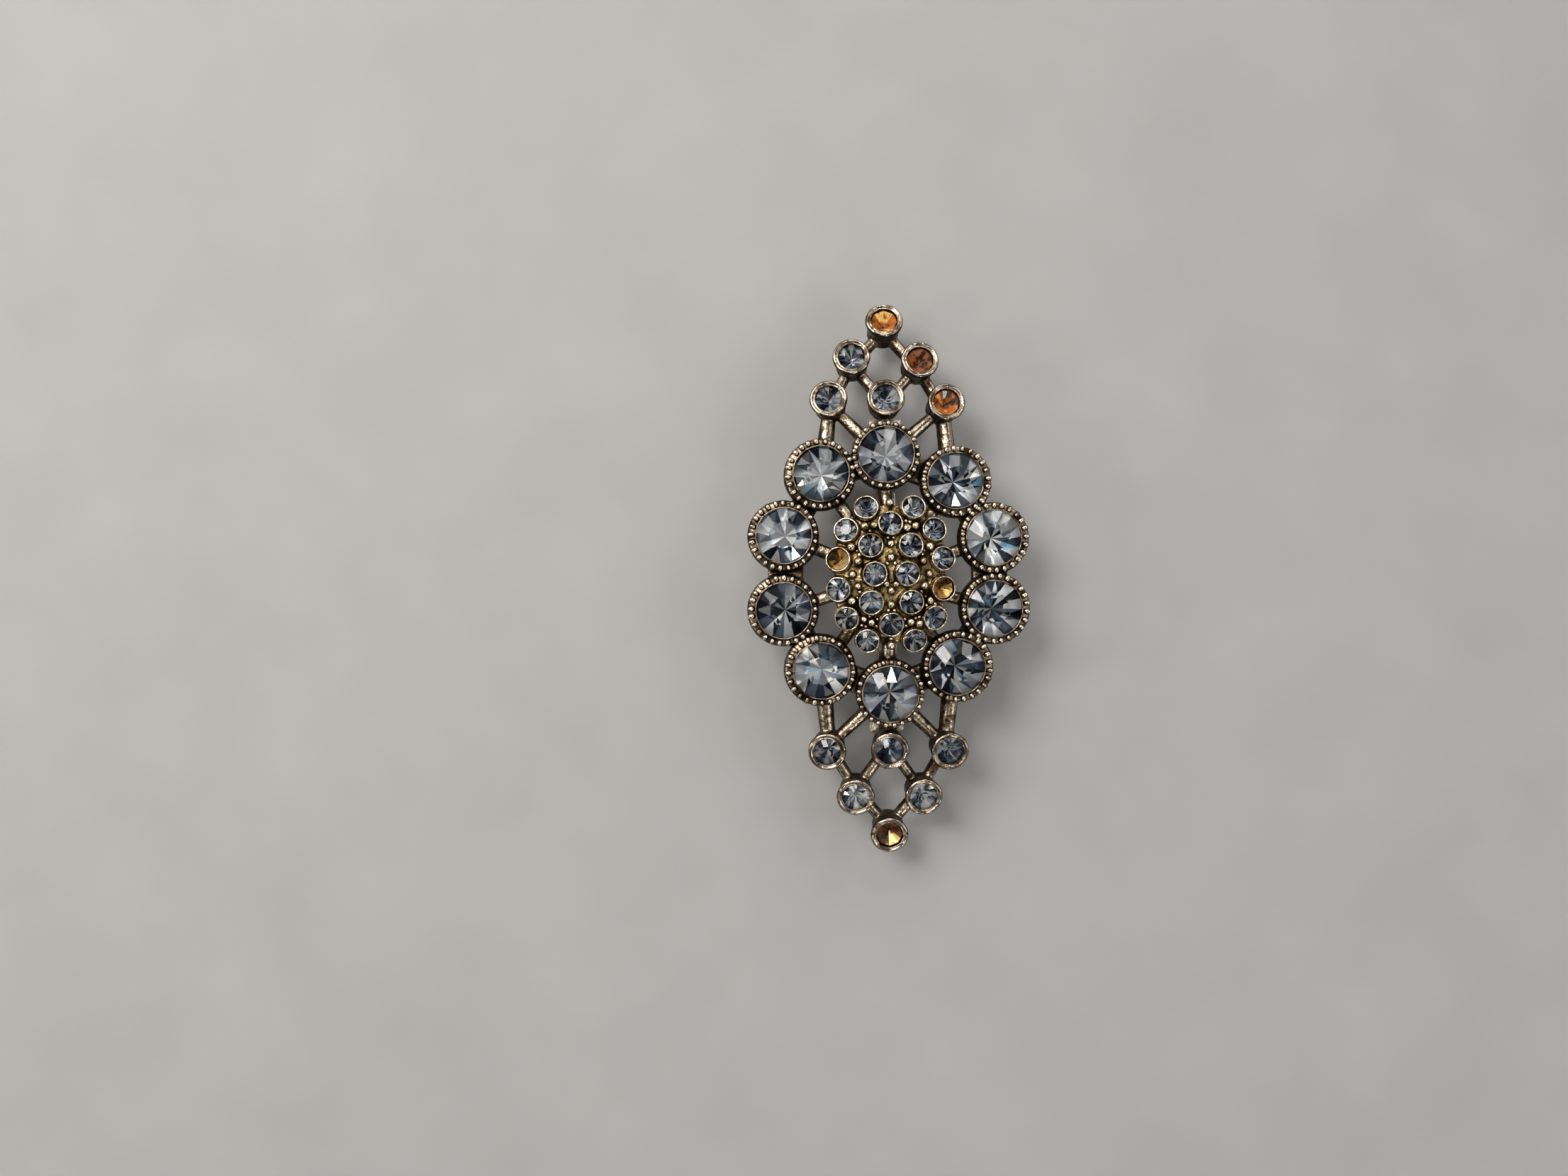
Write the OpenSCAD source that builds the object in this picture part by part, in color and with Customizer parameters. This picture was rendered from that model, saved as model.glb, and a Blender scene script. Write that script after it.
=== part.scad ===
// Rhinestone hair clip: a convex openwork casting carries bezel-set stones and a raised
// stone cluster, and a narrow snap clasp with a spring bow is soldered under it.
// Rest position is shut and latched, stones up. X is the width, Y the length, Z the height.
// The origin is under the middle of the clip, level with the lowest face of the clasp arm.

/* [Ornament] */
// Radius of the casting's curve across the clip
curve_across = 65; // [58:1:80]
// Radius of the casting's curve along the clip
curve_along = 115; // [110:1:130]
// Extra outward lean of the top setting, as a slope
tip_lean = 0.1; // [0:0.01:0.15]
// Radius of the round bars between the settings
bar_r = 0.8; // [0.7:0.05:0.85]
// Radius of the four stouter bars at the sides of the tips
side_bar_r = 1.05; // [0.8:0.05:1.1]
// Share of the casting's slope that the large settings lean with
large_lean = 0.4; // [0.3:0.1:1]

/* [Stones] */
// Diameter of a large stone
large_d = 7.1; // [6.9:0.1:7.2]
// Diameter of a small stone
small_d = 3.5; // [3.3:0.1:3.6]
// Diameter of a stone of the raised cluster
dome_d = 2.8; // [2.6:0.1:2.9]

/* [Raised cluster] */
// Radius of the sphere that the cluster's top follows
dome_curve = 26; // [24:1:30]
// Height of the cluster's body over the bars at the middle
dome_top = 3.2; // [3:0.1:3.4]

/* [Clasp] */
// Width of the base strip and of the arm
strip_w = 2.2; // [2:0.1:2.3]
// Free height between the spring bow and the shut arm
hair_gap = 4.25; // [4.2:0.05:4.6]
// Radius of the hinge pin
pin_r = 0.4; // [0.35:0.05:0.45]

/* [Hidden] */
$fn = 48;

// Settings: [x, y] of the rim's middle; the casting was made by hand and isn't quite even.
// Large ones in order round the clip from the top, then the top tip and the bottom tip, each
// from its end inwards and from left to right
large_spots = [
    [-0.25, 15.33], [8.36, 12], [13.1, 4.88], [13.15, -3.97], [8.35, -11.17],
    [0, -14.42], [-8.56, -11.49], [-13.15, -3.97], [-13.05, 5.38], [-8.36, 13.03]
];
small_spots = [
    [0, 32.88], [-4.3, 28.08], [4.4, 27.58], [-7.3, 22.63], [-0.1, 22.63], [7.6, 22.08],
    [0.05, -32.82], [-4.3, -27.77], [4.35, -27.77], [-7.9, -21.82], [0, -21.72], [7.6, -21.92]
];
top_large = [9, 0, 1];
bottom_large = [6, 5, 4];
outer_side = [[2.85, 8], [5.3, 5.3], [6.3, 1.8]];
outer_spots = clockwise([], outer_side);
inner_spots = clockwise([[0, 6.05]], [[2.4, 3.4]], [[1.95, 0]]);
dome_spots = concat(outer_spots, inner_spots);

// Which settings have lost their stone and show the lacquered seat cup
empty_small = [0, 2, 5, 6];
empty_dome = [3, 9];
set_small = [for (i = [0 : len(small_spots) - 1]) if (len(search(i, empty_small)) == 0) i];
set_dome = [for (i = [0 : len(dome_spots) - 1]) if (len(search(i, empty_dome)) == 0) i];

// Bezels: outer radius at the rim and at the widest, rim height over the bars, whole height
large_r = 4.1;
large_wide = 4.55;
large_shift = 0.25; // outwards shift of the side ones' outside
foot = 0.75; // share of the rim's radius
large_rim = 2.2;
large_h = 4.1;
small_r = 2.42;
small_rim = 1.9;
small_h = 3.9;
dome_r = 1.62;
dome_rim = 0.85;
dome_depth = 2.2;
bar_drop = 0.75; // from the top of the bars to their axis
large_trim = 2.6; // how far a bar stays from a setting's axis
small_trim = 1.2;
spoke_start = 0.35; // share of the way out to a large setting's foot
web_t = 1.4;
web_w = 3.2;
side_web_w = 4.4; // between the two settings at each side
hub_r = 6.9; // two such discs make the oval plate under the cluster
hub_shift = 1.6;
hub_y = 0.45; // middle of the plate and of the cluster
hub_z = [-1.2, 0.2];

// Stone proportions, as shares of the diameter
lip = 0.3; // rim over the girdle
girdle = 0.2;
pavilion = 0.42;
crown = 0.15;
table = 0.48;
seat_gap = 0.04;
foil_t = 0.15;

// Clasp heights, from the top of the bars at the clip's middle
base_top = -1.85;
base_t = 0.6;
pad_z = [-4.15, -3.55];
bow_top = -3.9;
bow_t = 0.3;
arm_t = 0.8;
arm_top = bow_top - bow_t - hair_gap;
floor_z = arm_top - arm_t;
ref_z = -floor_z; // the bars' top over the floor, at the middle

// Clasp places along the clip
hinge_y = 18.6;
hinge_z = arm_top + 0.15;
knuckle_r = 0.9;
knuckle_half = 1.2;
pin_head_r = 0.65;
pin_head_t = 0.24;
lug_y = 15.9;
lug_z = -4.05;
lug_r = 0.3;
lug_half = 1.85;
bow_half = 0.95;
ear_x = [1.45, 1.95];
ear_top = -3.5;
ear_round = 0.8;
pad_w = 4;
pad_y = [17, 20.2];
catch_pad = 1.4;
strip_end = 19.4;
catch_y = -18;
catch_w = 4.2;
catch_plate_t = 0.4;
catch_plate_half = [0.84, 1.5];
rivet_r = 0.4;
rivet_head = [0.7, 0.25];
crank_y = [-15.8, -17];
tongue_y = -19;
plate_z = [arm_top + 0.55, arm_top + 1.15];
window = [2.8, 1.8];
prong_x = [0.9, 1.3];
prong_w = 1.4;
prong_root_z = -4.4;
prong_tip_z = floor_z + 0.15;
barb = 0.35;
prong_bead = 0.19;
fit = 0.05; // radial clearance of the hinge pin and the bow's lugs
snug = 0.02; // radial clearance of the riveted holes

function numbered(name, i) = str(name, i < 10 ? "_0" : "_", i);
function reversed(v) = [for (i = [len(v) - 1 : -1 : 0]) v[i]];
function unit(v) = v / norm(v);

// Cluster spots round an oval: the top ones, the right side down, the bottom, the left side up
function clockwise(top, side, mid = []) = concat(
    top,
    side,
    mid,
    [for (p = reversed(side)) [p.x, -p.y]],
    [for (p = reversed(top)) [p.x, -p.y]],
    [for (p = side) [-p.x, -p.y]],
    [for (p = mid) [-p.x, p.y]],
    [for (p = reversed(side)) [-p.x, p.y]]
);

// The casting's curved surface: height, direction of a setting's axis, a point on that axis
function surface_z(p) = -p.x * p.x / (2 * curve_across) - p.y * p.y / (2 * curve_along);
function lean(p) = p.y > 30 ? tip_lean : 0;
function share(p) = norm(p) < 20 ? large_lean : 1;
function slope(p) = [p.x / curve_across, p.y / curve_along] * share(p);
function axis_of(p) = unit([slope(p).x, slope(p).y + lean(p), 1]);
function on_axis(p, rim, h) = [p.x, p.y, surface_z(p) + rim] + axis_of(p) * h;
function is_middle(p) = abs(p.x) < 1;
function large_foot(p) = on_axis(p, large_rim, -large_rim - bar_drop);
function small_foot(p) = on_axis(p, small_rim, -small_rim - bar_drop);

// The cluster's sphere: axis of a setting on it
function dome_centre() = [0, hub_y, dome_top - dome_curve];
function dome_axis(p) = unit([p.x, p.y, sqrt(dome_curve * dome_curve - p.x * p.x - p.y * p.y)]);

// Puts children at a point with their Z along a direction
module place(point, direction) {
    translate([0, 0, ref_z])
        translate(point)
            rotate([-asin(direction.y), atan2(direction.x, direction.z), 0])
                children();
}

module at_large(p, shift = 0) {
    side = is_middle(p) ? 0 : sign(p.x) * shift;
    place(on_axis(p, large_rim, 0) + [side, 0, -side * slope(p).x], axis_of(p)) children();
}

module at_small(p) {
    place(on_axis(p, small_rim, 0), axis_of(p)) children();
}

module at_dome(p) {
    place(dome_centre() + dome_axis(p) * (dome_curve + dome_rim), dome_axis(p)) children();
}

// Outside of a setting, flared from its rim and tapered to its foot
module cup(r, wide, h) {
    rotate_extrude()
        polygon([[0, -h], [foot * r, -h], [wide, -0.5 * h], [r, 0], [0, 0]]);
}

// Room for a stone: a straight mouth and a cone under it
module seat(d) {
    r = d / 2 + seat_gap;
    mouth = lip + girdle;
    tip = mouth + pavilion * d + 2 * seat_gap;
    rotate_extrude()
        polygon([[0, 1], [r, 1], [r, -mouth], [0.1, -tip], [0, -tip]]);
}

// A cut stone: table, crown, girdle and pointed back, with twelve sides
module stone(d) {
    r = d / 2;
    low = lip + girdle;
    rotate_extrude($fn = 12)
        polygon([
            [0, -low - pavilion * d], [r, -low], [r, -lip],
            [table * r, crown * d - lip], [0, crown * d - lip]
        ]);
}

// The lacquered foil cup that a lost stone leaves in its seat
module foil(d) {
    r = d / 2;
    low = lip + girdle;
    depth = pavilion * d;
    rotate_extrude($fn = 12)
        polygon([
            [0, -low - depth], [r, -low], [r, -lip - girdle / 2], [r - foil_t, -lip - girdle / 2],
            [r - foil_t, -low], [0, -low - depth * (1 - foil_t / r)]
        ]);
}

// A round bar between two points, stopped short inside the settings at its ends
module bar(a, b, trim_a, trim_b, r = bar_r) {
    v = b - a;
    translate([0, 0, ref_z])
        translate(a + unit(v) * trim_a)
            rotate([0, acos(v.z / norm(v)), atan2(v.y, v.x)])
                cylinder(r = r, h = norm(v) - trim_a - trim_b);
}

// A flat web between the feet of two neighbouring large settings
module flat_web(a, b) {
    v = b - a;
    long = norm(v) - 2 * large_trim;
    w = abs(v.x) < 1 ? side_web_w : web_w;
    translate([0, 0, ref_z])
        translate(a + unit(v) * large_trim)
            rotate([0, acos(v.z / norm(v)), atan2(v.y, v.x)])
                translate([-web_t / 2, -w / 2, 0])
                    cube([web_t, w, long]);
}

// A plate across X with an outline in Y and Z, between two X values
module side_plate(x0, x1, outline) {
    translate([x0, 0, ref_z])
        rotate([90, 0, 90])
            linear_extrude(x1 - x0)
                polygon(outline);
}

// A box between two corners, heights counted from the bars' top
module block(low, high) {
    translate([low.x, low.y, low.z + ref_z])
        cube(high - low);
}

// A round bar or bore along X through a point of the YZ plane
module cross_rod(y, z, r, half) {
    translate([-half, y, z + ref_z])
        rotate([0, 90, 0])
            cylinder(r = r, h = 2 * half);
}

// Oval outline of the plate under the cluster and of the cluster's body
module oval(z0, z1) {
    for (s = [-1, 1])
        translate([0, hub_y + s * hub_shift, z0 + ref_z])
            cylinder(r = hub_r, h = z1 - z0);
}

// Bars of one tip: its six small settings from the first, and the three large ones they meet
module tip_bars(first, near) {
    small = [for (i = [0 : 5]) small_foot(small_spots[first + i])];
    large = [for (i = near) large_foot(large_spots[i])];
    for (pair = [[0, 1], [0, 2], [1, 3], [1, 4], [2, 4], [2, 5]])
        bar(small[pair[0]], small[pair[1]], small_trim, small_trim);
    for (pair = [[3, 1], [4, 1], [5, 1]])
        bar(small[pair[0]], large[pair[1]], small_trim, large_trim);
    for (pair = [[3, 0], [5, 2]])
        bar(small[pair[0]], large[pair[1]], small_trim, large_trim, side_bar_r);
}

// Ring of webs through the large settings, and spokes in to the plate
module ring_bars() {
    n = len(large_spots);
    for (i = [0 : n - 1]) {
        p = large_foot(large_spots[i]);
        flat_web(p, large_foot(large_spots[(i + 1) % n]));
        bar([p.x * spoke_start, p.y * spoke_start, -bar_drop], p, 0, large_trim);
    }
}

module openwork_frame() {
    color("#b5a384")
        difference() {
            union() {
                oval(hub_z[0], hub_z[1]);
                ring_bars();
                tip_bars(0, top_large);
                tip_bars(6, bottom_large);
                for (p = large_spots)
                    at_large(p, large_shift)
                        cup(large_r, is_middle(p) ? large_r : large_wide, large_h);
                for (p = small_spots) at_small(p) cup(small_r, small_r, small_h);
            }
            for (p = large_spots) at_large(p) seat(large_d);
            for (p = small_spots) at_small(p) seat(small_d);
        }
}

module cluster_dome() {
    color("#c9a25c")
        difference() {
            union() {
                intersection() {
                    oval(hub_z[1], dome_top + 1);
                    translate(dome_centre() + [0, 0, ref_z]) rotate([90, 0, 45]) sphere(r = dome_curve);
                }
                for (p = outer_spots) at_dome(p) translate([0, 0, -6]) cylinder(r = dome_r, h = 6);
                for (p = inner_spots)
                    at_dome(p) translate([0, 0, -dome_depth]) cylinder(r = dome_r, h = dome_depth);
            }
            block([-20, -20, -10], [20, 20, hub_z[1]]);
            for (p = dome_spots) at_dome(p) seat(dome_d);
        }
}

// Strip soldered under the casting, with a pad and two ears at the hinge and a pad at the catch
module clasp_base() {
    r = curve_along + base_top;
    half_angle = asin(strip_end / r);
    ear = concat(
        [[lug_y - ear_round, ear_top], [lug_y - ear_round, lug_z - 0.7]],
        [for (a = [200 : 20 : 360]) [hinge_y + ear_round * cos(a), hinge_z + ear_round * sin(a)]],
        [[pad_y[1] - 0.2, pad_z[0]], [pad_y[1] - 0.2, ear_top]]
    );
    color("#a9a49a")
        difference() {
            union() {
                translate([strip_w / 2, 0, ref_z - curve_along])
                    rotate([0, -90, 0])
                        rotate([0, 0, -half_angle])
                            rotate_extrude(angle = 2 * half_angle, $fn = 360)
                                translate([r - base_t, 0]) square([base_t, strip_w]);
                block([-pad_w / 2, pad_y[0], pad_z[0]], [pad_w / 2, pad_y[1], pad_z[1]]);
                block(
                    [-pad_w / 2, catch_y - catch_pad, pad_z[0]],
                    [pad_w / 2, catch_y + catch_pad, pad_z[1]]
                );
                side_plate(ear_x[0], ear_x[1], ear);
                side_plate(-ear_x[1], -ear_x[0], ear);
            }
            cross_rod(hinge_y, hinge_z, pin_r + snug, 3);
            cross_rod(lug_y, lug_z, lug_r + fit, 3);
            translate([0, catch_y, pad_z[0] + ref_z])
                cylinder(r = rivet_r + snug, h = 4, center = true);
        }
}

module hinge_pin() {
    color("#8d8980")
        union() {
            cross_rod(hinge_y, hinge_z, pin_r, ear_x[1] + 0.25);
            for (s = [-1, 1])
                translate([s * (ear_x[1] + 0.15), 0, 0])
                    cross_rod(hinge_y, hinge_z, pin_head_r, pin_head_t / 2);
        }
}

module tension_bow() {
    color("#bdb9b0")
        union() {
            block([-bow_half, -lug_y, bow_top - bow_t], [bow_half, lug_y + 0.2, bow_top]);
            cross_rod(lug_y, lug_z, lug_r, lug_half);
        }
}

// Lower jaw: a flat bar with a rolled knuckle, cranked up to a plate with the catch window
module clasp_arm() {
    side = [
        [hinge_y + 0.3, floor_z], [hinge_y + 0.3, arm_top], [crank_y[0] - 0.1, arm_top],
        [crank_y[1], plate_z[1] - 0.05], [crank_y[1], plate_z[0] + 0.05],
        [crank_y[0] + 0.1, floor_z]
    ];
    half = catch_w / 2;
    back = crank_y[1] + 0.3;
    round_end = [for (a = [180 : 15 : 360]) [half * cos(a), tongue_y + half * sin(a)]];
    color("#b3aea4")
        difference() {
            union() {
                side_plate(-strip_w / 2, strip_w / 2, side);
                cross_rod(hinge_y, hinge_z, knuckle_r, knuckle_half);
                translate([0, 0, plate_z[0] + ref_z])
                    linear_extrude(plate_z[1] - plate_z[0])
                        polygon(concat([[half, back], [-half, back]], round_end));
            }
            cross_rod(hinge_y, hinge_z, pin_r + fit, 3);
            block(
                [-window[0] / 2, catch_y - window[1] / 2, plate_z[0] - 0.3],
                [window[0] / 2, catch_y + window[1] / 2, plate_z[1] + 0.3]
            );
        }
}

module catch_plate() {
    color("#9c978d")
        difference() {
            block(
                [-catch_plate_half.x, catch_y - catch_plate_half.y, pad_z[0] - catch_plate_t],
                [catch_plate_half.x, catch_y + catch_plate_half.y, pad_z[0]]
            );
            translate([0, catch_y, pad_z[0] + ref_z])
                cylinder(r = rivet_r + snug, h = 4, center = true);
        }
}

module catch_rivet() {
    color("#8d8980")
        union() {
            translate([0, catch_y, pad_z[0] - catch_plate_t + ref_z])
                cylinder(r = rivet_r, h = 1);
            translate([0, catch_y, pad_z[0] - catch_plate_t - rivet_head[1] + ref_z])
                cylinder(r = rivet_head[0], h = rivet_head[1]);
        }
}

// One springy leg of the catch, on the right; its barb snaps under the arm's window
module prong() {
    hook = plate_z[0] - 0.1;
    outline = [
        [prong_x[0], prong_root_z], [prong_x[0], prong_tip_z], [prong_x[1] - 0.1, prong_tip_z],
        [prong_x[1] + barb, hook - 0.35], [prong_x[1] + barb, hook], [prong_x[1], hook],
        [prong_x[1], prong_root_z]
    ];
    mid = (prong_x[0] + prong_x[1]) / 2;
    translate([0, catch_y + prong_w / 2, ref_z])
        rotate([90, 0, 0])
            union() {
                linear_extrude(prong_w) polygon(outline);
                translate([mid, prong_root_z, 0]) cylinder(r = prong_bead, h = prong_w);
            }
}

module catch_prong_right() {
    color("#a39e94") prong();
}

module catch_prong_left() {
    color("#a39e94") mirror([1, 0, 0]) prong();
}

openwork_frame();
cluster_dome();
for (i = [1 : len(large_spots)])
    color("#dfe6ec") at_large(large_spots[i - 1]) stone(large_d);
for (i = [1 : len(set_small)])
    color("#dfe6ec") at_small(small_spots[set_small[i - 1]]) stone(small_d);
for (i = [1 : len(empty_small)])
    color("#b8641e") at_small(small_spots[empty_small[i - 1]]) foil(small_d);
for (i = [1 : len(set_dome)])
    color("#dfe6ec") at_dome(dome_spots[set_dome[i - 1]]) stone(dome_d);
for (i = [1 : len(empty_dome)])
    color("#c08a3a") at_dome(dome_spots[empty_dome[i - 1]]) foil(dome_d);
clasp_base();
hinge_pin();
tension_bow();
clasp_arm();
catch_plate();
catch_rivet();
catch_prong_left();
catch_prong_right();
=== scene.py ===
import math
import random

import bmesh
import bpy
import numpy as np
from mathutils import Matrix, Vector


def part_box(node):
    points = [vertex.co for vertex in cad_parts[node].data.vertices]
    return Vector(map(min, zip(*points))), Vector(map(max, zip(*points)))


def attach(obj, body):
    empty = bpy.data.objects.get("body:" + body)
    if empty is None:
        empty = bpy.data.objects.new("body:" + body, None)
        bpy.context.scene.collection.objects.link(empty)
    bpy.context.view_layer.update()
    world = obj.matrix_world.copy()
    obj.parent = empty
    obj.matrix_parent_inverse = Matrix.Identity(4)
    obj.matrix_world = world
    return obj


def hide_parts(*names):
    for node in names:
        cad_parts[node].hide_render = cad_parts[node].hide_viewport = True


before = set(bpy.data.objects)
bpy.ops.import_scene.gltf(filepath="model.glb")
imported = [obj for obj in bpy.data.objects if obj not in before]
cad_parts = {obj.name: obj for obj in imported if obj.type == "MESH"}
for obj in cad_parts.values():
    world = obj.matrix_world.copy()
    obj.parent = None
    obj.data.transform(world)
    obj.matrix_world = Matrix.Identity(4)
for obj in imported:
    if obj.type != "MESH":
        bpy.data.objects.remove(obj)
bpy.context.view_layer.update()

# ---------------------------------------------------------------------------------------------
# Camera: looks straight down on the clip, which lies on its back. It stands to the left of the
# clip's middle and is turned half a degree.
stone_low, stone_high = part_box("large_stone_03")
camera_height = 0.148  # over the level of the large stones
camera_x, camera_y = -0.0131, -0.00115
camera_data = bpy.data.cameras.new("camera")
camera_data.lens = 27.1
camera_data.sensor_width = 36
camera_data.clip_start = 0.005
camera = bpy.data.objects.new("camera", camera_data)
camera.location = (camera_x, camera_y, (stone_low.z + stone_high.z) / 2 + camera_height)
camera.rotation_euler = (0, 0, math.radians(-0.56))
bpy.context.scene.collection.objects.link(camera)
bpy.context.scene.camera = camera

# ---------------------------------------------------------------------------------------------
# Settings: where each stone or empty foil cup sits and which way it faces, read from the
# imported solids. Every solid is turned about its own axis, so its middle and its odd principal
# direction give that axis, and its highest point along the axis gives the rim.
MM = 0.001
LARGE_D, SMALL_D, CLUSTER_D = 7.1, 3.5, 2.8
RIM_OVER_GIRDLE = 0.3
CROWN = 0.15  # share of the diameter


def seat_of(node, top_over_rim):
    """Matrix in millimetres: origin at the middle of the rim, Z out along the stone's axis."""
    points = np.array([v.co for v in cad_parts[node].data.vertices], float) / MM
    points = np.unique(points.round(4), axis=0)
    middle = points.mean(0)
    values, directions = np.linalg.eigh(np.cov((points - middle).T))
    odd = 0 if values[1] - values[0] > values[2] - values[1] else 2
    axis = directions[:, odd] * np.sign(directions[2, odd])
    rim = middle + axis * (((points - middle) @ axis).max() - top_over_rim)
    turn = Vector(axis).to_track_quat("Z", "Y").to_matrix().to_4x4()
    return Matrix.Translation(rim) @ turn


def seats(prefix, diameter, empty=False):
    """Node name to rim matrix, for the stones or the foil cups whose name starts so."""
    top = -0.4 if empty else CROWN * diameter - RIM_OVER_GIRDLE
    names = sorted(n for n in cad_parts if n.startswith(prefix))
    return {n: seat_of(n, top) for n in names}


large = seats("large_stone", LARGE_D)
small = seats("small_stone", SMALL_D)
small_empty = seats("foil_cup", SMALL_D, empty=True)
cluster = seats("cluster_stone", CLUSTER_D)
cluster_empty = seats("cluster_foil", CLUSTER_D, empty=True)

# ---------------------------------------------------------------------------------------------
# Plated casting: one openwork piece of cast base metal with thin pale gold plating. Flat, open
# faces are smoother and keep the clean colour; steep sides and every corner and pit are painted
# darker, which is painted shade, and brown tarnish patches and specks are scattered over it.


def plating_group():
    """Node group: clean and tarnished colour mixed by painted shade on steep sides and in crevices,
    and by tarnish patches and specks.
    """
    group = bpy.data.node_groups.new("aged shaded plating", "ShaderNodeTree")
    face = group.interface
    for name, kind, value in (
        ("Clean", "NodeSocketColor", (0.8, 0.7, 0.55, 1)),
        ("Middle", "NodeSocketColor", (0.4, 0.3, 0.2, 1)),
        ("Tarnish and shade", "NodeSocketColor", (0.08, 0.04, 0.02, 1)),
        ("Painted shade on sides", "NodeSocketFloat", 0.8),
        ("Crevice reach", "NodeSocketFloat", 0.001),
        ("Patches", "NodeSocketFloat", 0.3),
        ("Smooth", "NodeSocketFloat", 0.16),
        ("Dull", "NodeSocketFloat", 0.5),
    ):
        socket = face.new_socket(name, in_out="INPUT", socket_type=kind)
        socket.default_value = value
    face.new_socket("Color", in_out="OUTPUT", socket_type="NodeSocketColor")
    face.new_socket("Roughness", in_out="OUTPUT", socket_type="NodeSocketFloat")
    face.new_socket("Height", in_out="OUTPUT", socket_type="NodeSocketFloat")
    nodes, links = group.nodes, group.links
    given = nodes.new("NodeGroupInput")
    out = nodes.new("NodeGroupOutput")
    place = nodes.new("ShaderNodeTexCoord")

    def noise(scale, detail):
        node = nodes.new("ShaderNodeTexNoise")
        node.inputs["Scale"].default_value = scale
        node.inputs["Detail"].default_value = detail
        links.new(place.outputs["Object"], node.inputs["Vector"])
        return node.outputs["Fac"]

    def math_node(operation, a, b, clamp=False):
        node = nodes.new("ShaderNodeMath")
        node.operation = operation
        node.use_clamp = clamp
        for socket, value in zip(node.inputs, (a, b)):
            if isinstance(value, (int, float)):
                socket.default_value = value
            else:
                links.new(value, socket)
        return node.outputs[0]

    def ranged(value, low, high, to_low=0.0, to_high=1.0):
        node = nodes.new("ShaderNodeMapRange")
        node.interpolation_type = "SMOOTHSTEP"
        node.inputs["From Min"].default_value = low
        node.inputs["From Max"].default_value = high
        node.inputs["To Min"].default_value = to_low
        node.inputs["To Max"].default_value = to_high
        links.new(value, node.inputs["Value"])
        return node.outputs["Result"]

    crevice = nodes.new("ShaderNodeAmbientOcclusion")
    crevice.samples = 6
    links.new(given.outputs["Crevice reach"], crevice.inputs["Distance"])
    facing = nodes.new("ShaderNodeSeparateXYZ")
    links.new(place.outputs["Normal"], facing.inputs["Vector"])
    level = math_node("ABSOLUTE", facing.outputs["Z"], 0.0)
    blotch = noise(650, 5)
    pits = noise(2200, 3)
    # Painted shade: faces turned steeply from flat (by the object normal) and crevices (by ambient
    # occlusion) are darkened; the noise patches and specks are tarnish.
    steep = math_node("MULTIPLY", ranged(level, 0.3, 0.93, 1.0, 0.0), given.outputs["Painted shade on sides"])
    closed = ranged(crevice.outputs["AO"], 0.3, 0.9, 1.0, 0.0)
    painted_shade = math_node("MAXIMUM", steep, closed)
    ragged = math_node("MULTIPLY", painted_shade, ranged(blotch, 0.3, 0.62, 0.55, 1.25))
    patch = math_node("MULTIPLY", ranged(blotch, 0.5, 0.68), given.outputs["Patches"])
    specks = math_node("MULTIPLY", ranged(pits, 0.56, 0.7), given.outputs["Patches"])
    tarnish_and_shade = math_node("ADD", ragged, math_node("ADD", patch, specks), clamp=True)

    first = nodes.new("ShaderNodeMix")
    first.data_type = "RGBA"
    links.new(ranged(tarnish_and_shade, 0.1, 0.55), first.inputs["Factor"])
    links.new(given.outputs["Clean"], first.inputs["A"])
    links.new(given.outputs["Middle"], first.inputs["B"])
    colour = nodes.new("ShaderNodeMix")
    colour.data_type = "RGBA"
    links.new(ranged(tarnish_and_shade, 0.5, 1.0), colour.inputs["Factor"])
    links.new(first.outputs["Result"], colour.inputs["A"])
    links.new(given.outputs["Tarnish and shade"], colour.inputs["B"])
    links.new(colour.outputs["Result"], out.inputs["Color"])

    rough = nodes.new("ShaderNodeMix")
    rough.data_type = "FLOAT"
    links.new(tarnish_and_shade, rough.inputs["Factor"])
    links.new(given.outputs["Smooth"], rough.inputs["A"])
    links.new(given.outputs["Dull"], rough.inputs["B"])
    links.new(rough.outputs["Result"], out.inputs["Roughness"])
    links.new(math_node("ADD", pits, math_node("MULTIPLY", blotch, 0.6)), out.inputs["Height"])
    return group


aged_shaded_plating = plating_group()


def plated(name, clean, middle, tarnish_and_shade, patches=0.3, sides=0.8, reach=0.0016, smooth=0.18,
           dull=0.5, relief=0.3):
    """A plated metal that is clean on flat faces, painted darker on steep sides and in corners as
    painted shade, and tarnished in patches and specks.
    """
    material = bpy.data.materials.new(name)
    material.use_nodes = True
    nodes, links = material.node_tree.nodes, material.node_tree.links
    surface = nodes["Principled BSDF"]
    surface.inputs["Metallic"].default_value = 1.0
    age_and_shade = nodes.new("ShaderNodeGroup")
    age_and_shade.node_tree = aged_shaded_plating
    age_and_shade.inputs["Clean"].default_value = (*clean, 1)
    age_and_shade.inputs["Middle"].default_value = (*middle, 1)
    age_and_shade.inputs["Tarnish and shade"].default_value = (*tarnish_and_shade, 1)
    # sides sets how strongly steep faces are painted darker, reach how far crevices are: both painted
    # shade.
    age_and_shade.inputs["Painted shade on sides"].default_value = sides
    age_and_shade.inputs["Crevice reach"].default_value = reach
    age_and_shade.inputs["Patches"].default_value = patches
    age_and_shade.inputs["Smooth"].default_value = smooth
    age_and_shade.inputs["Dull"].default_value = dull
    bump = nodes.new("ShaderNodeBump")
    bump.inputs["Strength"].default_value = relief
    bump.inputs["Distance"].default_value = 0.00015
    links.new(age_and_shade.outputs["Color"], surface.inputs["Base Color"])
    links.new(age_and_shade.outputs["Roughness"], surface.inputs["Roughness"])
    links.new(age_and_shade.outputs["Height"], bump.inputs["Height"])
    links.new(bump.outputs["Normal"], surface.inputs["Normal"])
    return material


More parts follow.
